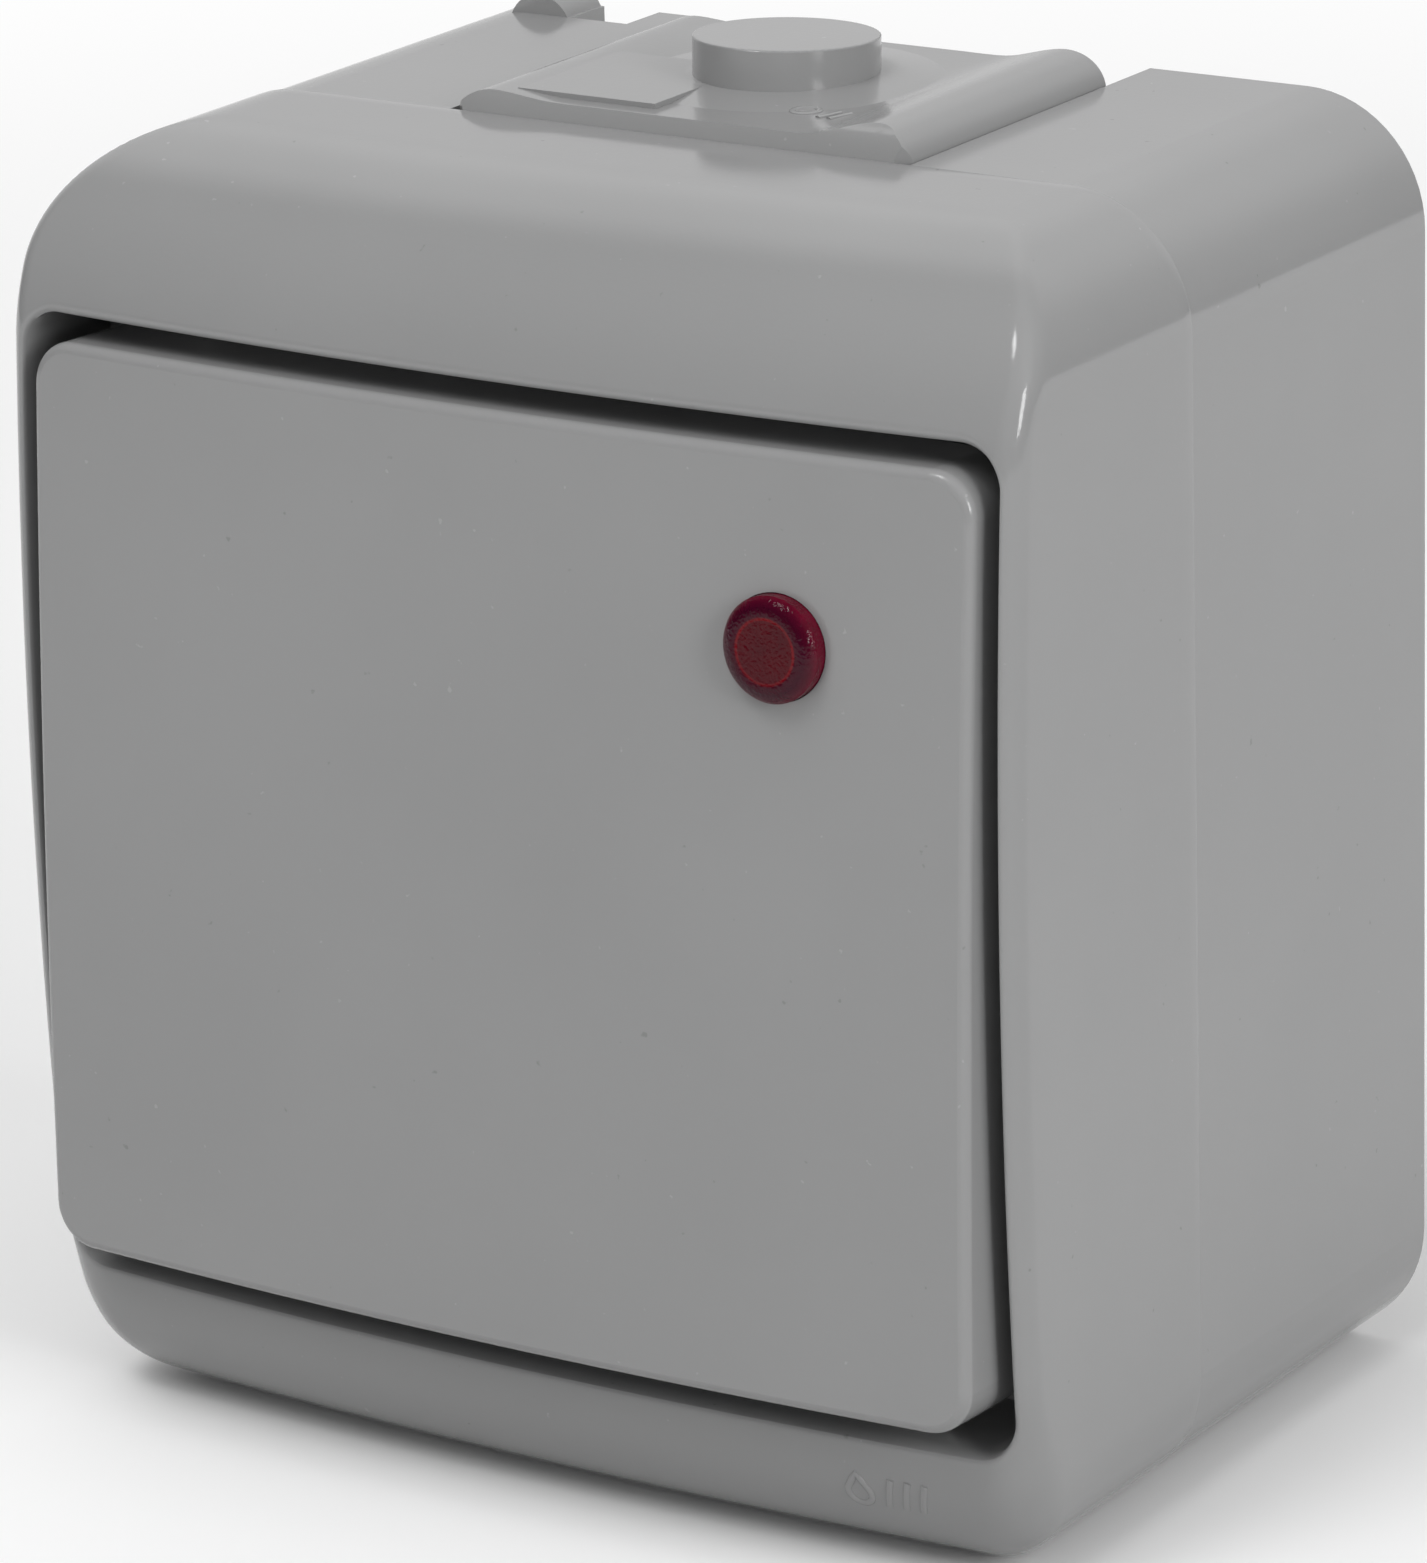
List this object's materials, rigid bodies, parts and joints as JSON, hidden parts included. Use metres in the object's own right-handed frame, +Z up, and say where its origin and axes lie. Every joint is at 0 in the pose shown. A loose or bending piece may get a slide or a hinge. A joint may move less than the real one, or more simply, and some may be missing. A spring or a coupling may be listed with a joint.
{
  "type": "outdoor weatherproof switch",
  "caption": "Surface-mounted weatherproof rocker switch: domed square cover with a large recessed rocker, round red indicator lens, deep back box and a soft cable grommet on top.",
  "frame": {"origin": "middle of the face that lies on the wall, at mid height", "axes": "+X to the right seen from the front, +Y into the wall, +Z up"},
  "size_m": [0.066, 0.0493, 0.0786],
  "materials": {
    "housing": "matte, neutral grey",
    "rocker": "matte, neutral grey",
    "grommet": "matte soft grey",
    "seal": "matte black",
    "insert": "matte off-white",
    "carrier": "matte light grey",
    "spring": "bright wire",
    "brass": "stamped",
    "contact": "silver",
    "screw": "zinc plated",
    "lens": "clear dark red",
    "lamp_glass": "clear",
    "resistor": "lacquered",
    "lead": "tinned"
  },
  "bodies": {
    "housing": {"back_box": "housing", "front_cover": "housing", "cable_grommet": "grommet", "cover_gasket": "seal", "mechanism_seal": "seal", "mechanism_base": "insert", "mechanism_frame": "insert", "fixed_contacts": "contact", "common_strip": "brass", "upper_strip": "brass", "lower_strip": "brass", "terminal_cages": "brass", "terminal_screws": "screw", "cover_screws": "screw", "mechanism_screws": "screw", "glow_lamp": "lamp_glass", "lamp_holder": "carrier", "lamp_resistor": "resistor", "lamp_leads": "lead"},
    "rocker": {"rocker_button": "rocker", "indicator_lens": "lens", "rocker_carrier": "carrier", "toggle_spring": "spring"},
    "plunger": {"spring_plunger": "carrier"},
    "lever": {"contact_lever": "brass", "moving_contacts": "contact"}
  },
  "joints": [
    {"name": "rocker_tilt", "type": "hinge", "parent": "housing", "child": "rocker", "pos_m": [0, -0.0385, -0.0003], "axis": [1, 0, 0], "range_deg": [0, 5]},
    {"name": "lever_tilt", "type": "hinge", "parent": "housing", "child": "lever", "pos_m": [0, -0.0225, -0.0003], "axis": [1, 0, 0], "range_deg": [-12, 0]},
    {"name": "plunger_slide", "type": "slide", "parent": "rocker", "child": "plunger", "axis": [0, -0.999, 0.0436], "range_m": [0, 0.0008], "stiffness_N_per_m": 400, "springref_m": -0.0005, "deforming": ["toggle_spring"]}
  ],
  "couplings": [
    {"joint": "lever_tilt", "follows": "rocker_tilt", "ratio": -2.4}
  ]
}
